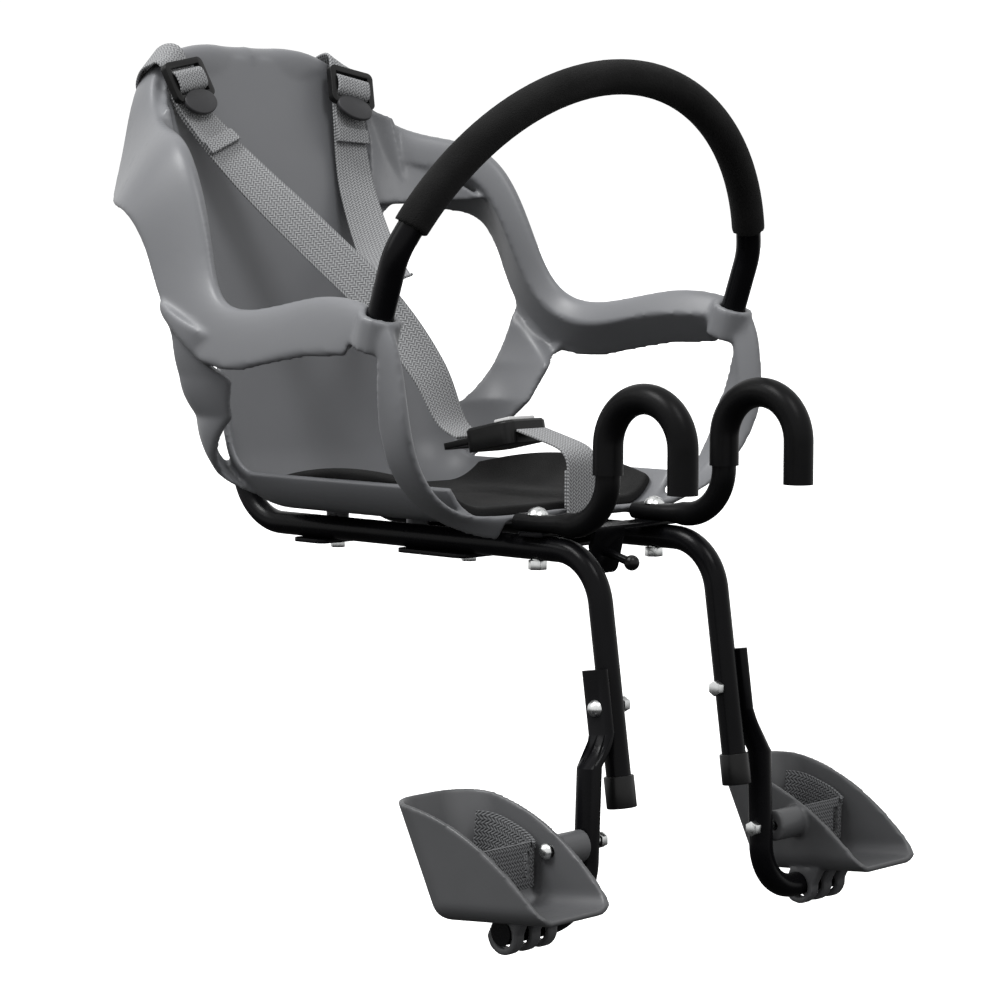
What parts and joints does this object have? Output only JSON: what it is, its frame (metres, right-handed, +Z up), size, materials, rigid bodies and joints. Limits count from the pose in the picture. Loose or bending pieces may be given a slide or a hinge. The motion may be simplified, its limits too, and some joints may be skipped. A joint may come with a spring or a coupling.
{
  "type": "child bicycle seat",
  "caption": "Moulded child seat with grab hoop, harness and footrests, hung on a bicycle handlebar by coated hooks on a bent tube frame.",
  "frame": {"origin": "on the axis of the handlebar that the two hooks hang on, midway between the hooks", "axes": "+X across the bicycle to the child's left, -Y forward, +Z up"},
  "size_m": [0.3354, 0.4399, 0.5097],
  "materials": {
    "shell": "satin moulded grey plastic",
    "pad": "soft black foam sheet",
    "frame": "gloss black powder coat on steel",
    "coating": "black dipped coating over steel",
    "foam": "matte black foam",
    "zinc": "bright zinc plate",
    "webbing": "grey woven webbing",
    "black_plastic": "black moulded plastic",
    "button": "light grey plastic",
    "band": "dark grey flexible plastic band"
  },
  "bodies": {
    "seat": {"seat_shell": "shell", "seat_pad": "pad", "base_frame": "frame", "right_hook": "coating", "left_hook": "coating", "front_plate": "frame", "rear_plate": "frame", "stop_bracket": "frame", "stop_rod": "zinc", "stop_ball": "black_plastic", "right_leg_cap": "black_plastic", "left_leg_cap": "black_plastic", "grab_hoop": "frame", "foam_grip": "foam", "right_arm": "frame", "left_arm": "frame", "right_footrest": "shell", "left_footrest": "shell", "hook_bolts": "zinc", "hook_nuts": "zinc", "seat_bolts": "zinc", "seat_nuts": "zinc", "arm_bolts": "zinc", "arm_nuts": "zinc", "tray_bolts": "zinc", "tray_nuts": "zinc", "right_shoulder_strap": "webbing", "left_shoulder_strap": "webbing", "right_adjuster": "black_plastic", "left_adjuster": "black_plastic", "strap_ring": "black_plastic", "buckle_body": "black_plastic", "buckle_tongue": "black_plastic", "crotch_strap": "webbing", "right_foot_strap": "band", "left_foot_strap": "band"},
    "button": {"release_button": "button"}
  },
  "joints": [
    {"name": "button_press", "type": "slide", "parent": "seat", "child": "button", "axis": [0, -0.2079, -0.9781], "range_m": [0, 0.002], "stiffness_N_per_m": 300}
  ]
}
